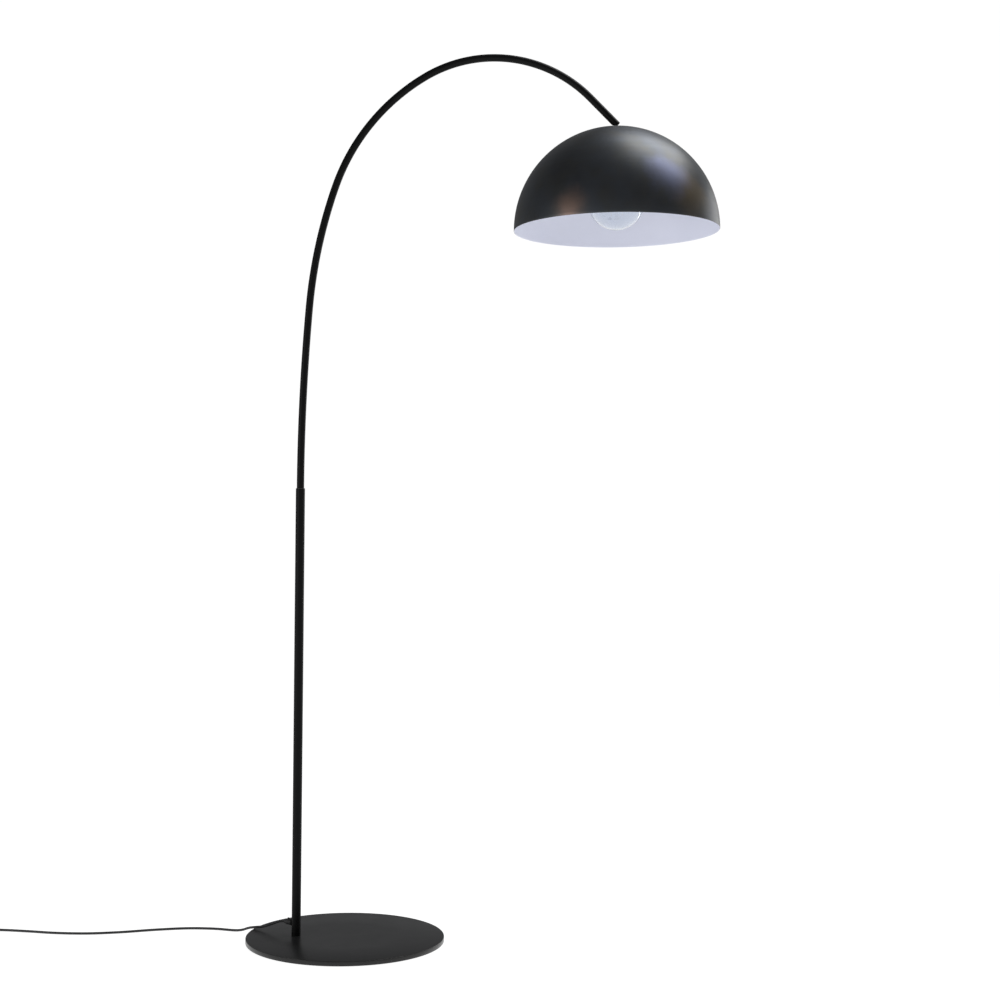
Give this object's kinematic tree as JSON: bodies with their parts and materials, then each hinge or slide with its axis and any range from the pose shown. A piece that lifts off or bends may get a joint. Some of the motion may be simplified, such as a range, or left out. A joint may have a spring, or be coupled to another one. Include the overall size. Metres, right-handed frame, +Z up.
{
  "type": "arc floor lamp",
  "caption": "Arc floor lamp: round steel base, off-centre pole, bent arm that swivels, and a tilting hemispherical metal shade with a globe bulb; corded, with foot switch and plug.",
  "frame": {"origin": "centre of the round base's underside, at floor level", "axes": "+Z up; +X the way the arm reaches from the pole to the shade; +Y completes the right-handed frame, with the arm in the XZ plane"},
  "size_m": [1.73, 0.45, 1.9399],
  "materials": {
    "black_steel": "satin",
    "base_steel": "satin",
    "felt": "matte",
    "zinc_steel": "satin",
    "black_nylon": "satin",
    "shade_metal": "satin",
    "holder_plastic": "satin",
    "porcelain": "gloss",
    "brass": "satin",
    "bulb_glass": "gloss",
    "nickel": "polished",
    "black_glass": "gloss",
    "filament": "satin",
    "cord_jacket": "satin",
    "switch_plastic": "satin",
    "contact_block": "matte",
    "tie_fabric": "matte"
  },
  "bodies": {
    "base": {"base_felt": "felt", "base_plate": "base_steel", "pole_bolt": "zinc_steel", "pole_washer": "zinc_steel", "pole_foot_plug": "zinc_steel", "lower_pole": "black_steel", "cord_grip": "black_nylon", "cord_grip_screw": "black_nylon", "pole_bush": "black_nylon", "arm_seat": "zinc_steel", "arm_grub_screw": "zinc_steel", "pole_lead": "cord_jacket", "cord_to_switch": "cord_jacket", "switch_base": "switch_plastic", "switch_cover": "switch_plastic", "switch_spring": "zinc_steel", "switch_contacts": "contact_block", "switch_screws": "zinc_steel", "cord_to_coil": "cord_jacket", "cord_coil": "cord_jacket", "coil_tie": "tie_fabric", "cord_to_plug": "cord_jacket", "plug_body": "switch_plastic", "plug_pins": "nickel"},
    "arm": {"arm_tube": "black_steel", "arm_lead": "cord_jacket", "tilt_screws": "black_steel"},
    "head": {"shade_stem": "black_steel", "shade": "shade_metal", "shade_washer": "zinc_steel", "shade_nut": "zinc_steel", "holder_cap": "holder_plastic", "holder_casing": "holder_plastic", "holder_core": "porcelain", "holder_thread": "brass", "holder_contact": "brass", "head_lead": "cord_jacket", "bulb_globe": "bulb_glass", "bulb_cap": "nickel", "bulb_insulator": "black_glass", "bulb_contact": "nickel", "bulb_mount": "bulb_glass", "bulb_filaments": "filament"},
    "button": {"switch_button": "switch_plastic"}
  },
  "joints": [
    {"name": "arm_swivel", "type": "hinge", "parent": "base", "child": "arm", "pos_m": [-0.107, 0, 0.984], "axis": [0, 0, 1], "range_deg": [-180, 180]},
    {"name": "shade_tilt", "type": "hinge", "parent": "arm", "child": "head", "pos_m": [0.57593, 0, 1.7893], "axis": [0, 1, 0], "range_deg": [-25, 25]},
    {"name": "switch_press", "type": "slide", "parent": "base", "child": "button", "axis": [0, 0, -1], "range_m": [0, 0.003], "stiffness_N_per_m": 500, "springref_m": -0.001, "deforming": ["switch_spring"]}
  ]
}
